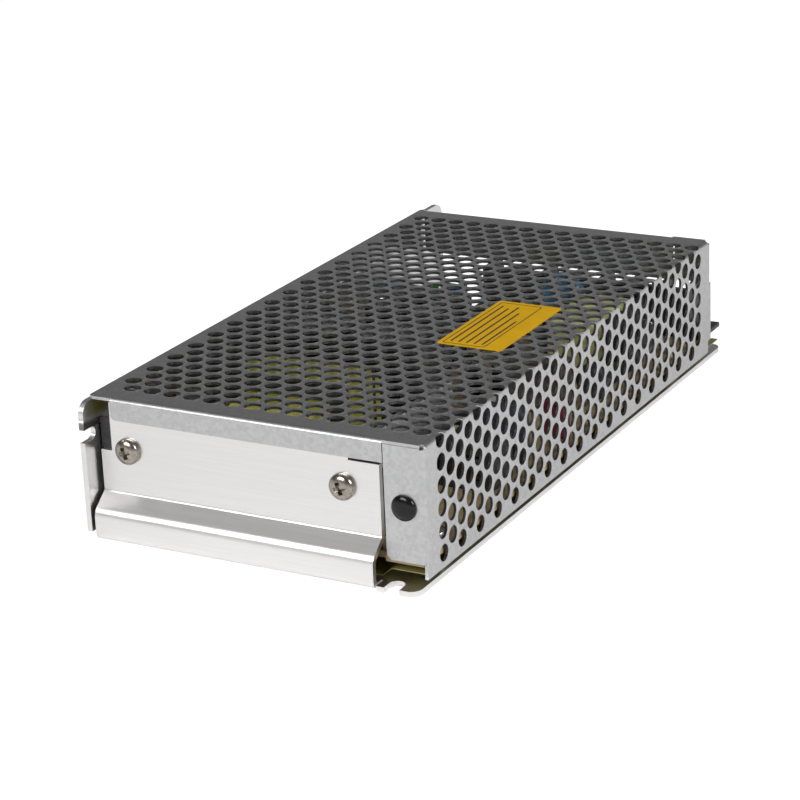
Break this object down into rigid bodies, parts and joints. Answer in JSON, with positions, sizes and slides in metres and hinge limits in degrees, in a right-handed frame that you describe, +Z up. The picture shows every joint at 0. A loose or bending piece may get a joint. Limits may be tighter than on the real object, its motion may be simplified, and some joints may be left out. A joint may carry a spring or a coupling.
{
  "type": "enclosed switching power supply",
  "caption": "Mesh case power supply: folded tray, perforated cover, populated board and an open screw terminal block.",
  "frame": {"origin": "middle of the underside of the tray", "axes": "+Z up, -Y the end wall with the two clamp screws, +Y the terminal end, +X the perforated side"},
  "size_m": [0.0966, 0.199, 0.0381],
  "materials": {
    "folded_aluminium": "bare folded sheet, satin",
    "galvanised_sheet": "galvanised perforated sheet",
    "screw_steel": "nickel plated",
    "black_nylon": "glossy moulded nylon",
    "olive_film": "thin olive insulating film",
    "board_laminate": "paper laminate, tan edges",
    "standoff_steel": "plated steel",
    "black_epoxy": "moulded epoxy",
    "grey_pad": "thermal pad",
    "ferrite": "dark ferrite",
    "yellow_tape": "yellow insulating tape",
    "dark_sleeve": "shrink sleeve",
    "copper_winding": "enamelled copper winding",
    "heatsink_aluminium": "plain aluminium",
    "red_epoxy": "dipped epoxy",
    "yellow_case": "moulded case",
    "blue_epoxy": "dipped epoxy",
    "clear_glass": "clear tube",
    "cap_nickel": "nickel plated",
    "white_epoxy": "moulded epoxy",
    "resistor_body": "lacquered ceramic",
    "green_lens": "translucent lens",
    "terminal_black": "moulded black plastic",
    "trimmer_blue": "moulded plastic",
    "trimmer_white": "moulded plastic",
    "yellow_sticker": "printed film, plain bars only"
  },
  "bodies": {
    "supply": {"chassis": "folded_aluminium", "mesh_cover": "galvanised_sheet", "cover_screws": "screw_steel", "flange_plug": "black_nylon", "insulation_film": "olive_film", "circuit_board": "board_laminate", "standoffs": "standoff_steel", "board_screws": "screw_steel", "output_rectifier": "black_epoxy", "wall_transistor": "black_epoxy", "wall_pads": "grey_pad", "end_wall_screws": "screw_steel", "clamp_nuts": "screw_steel", "switching_transistor_1": "black_epoxy", "switching_transistor_2": "black_epoxy", "side_pad": "grey_pad", "clamp_bar": "standoff_steel", "clamp_screw": "screw_steel", "transformer_core": "ferrite", "transformer_coil": "yellow_tape", "transformer_bobbin": "black_nylon", "bulk_capacitor_1": "dark_sleeve", "bulk_capacitor_2": "dark_sleeve", "output_capacitors": "dark_sleeve", "small_capacitors": "dark_sleeve", "output_inductor": "copper_winding", "output_heatsink": "heatsink_aluminium", "driver_core": "ferrite", "driver_coil": "yellow_tape", "bridge_rectifier": "black_epoxy", "film_capacitor": "red_epoxy", "mains_capacitor": "yellow_case", "thermistor": "black_epoxy", "varistor": "blue_epoxy", "safety_capacitor": "blue_epoxy", "choke_core": "ferrite", "choke_coils": "copper_winding", "fuse_glass": "clear_glass", "fuse_caps": "cap_nickel", "fuse_clips": "cap_nickel", "control_chip": "black_epoxy", "optocoupler": "white_epoxy", "resistors": "resistor_body", "indicator_lamp": "green_lens", "terminal_block": "terminal_black", "terminal_plates": "cap_nickel", "terminal_washers": "cap_nickel", "terminal_screws": "screw_steel", "trimmer_body": "trimmer_blue", "top_sticker": "yellow_sticker"},
    "trimmer": {"trimmer_rotor": "trimmer_white"}
  },
  "joints": [
    {"name": "trimmer_turn", "type": "hinge", "parent": "supply", "child": "trimmer", "pos_m": [-0.0359, 0.0877, 0.0113], "axis": [0, 1, 0], "range_deg": [-135, 135]}
  ]
}
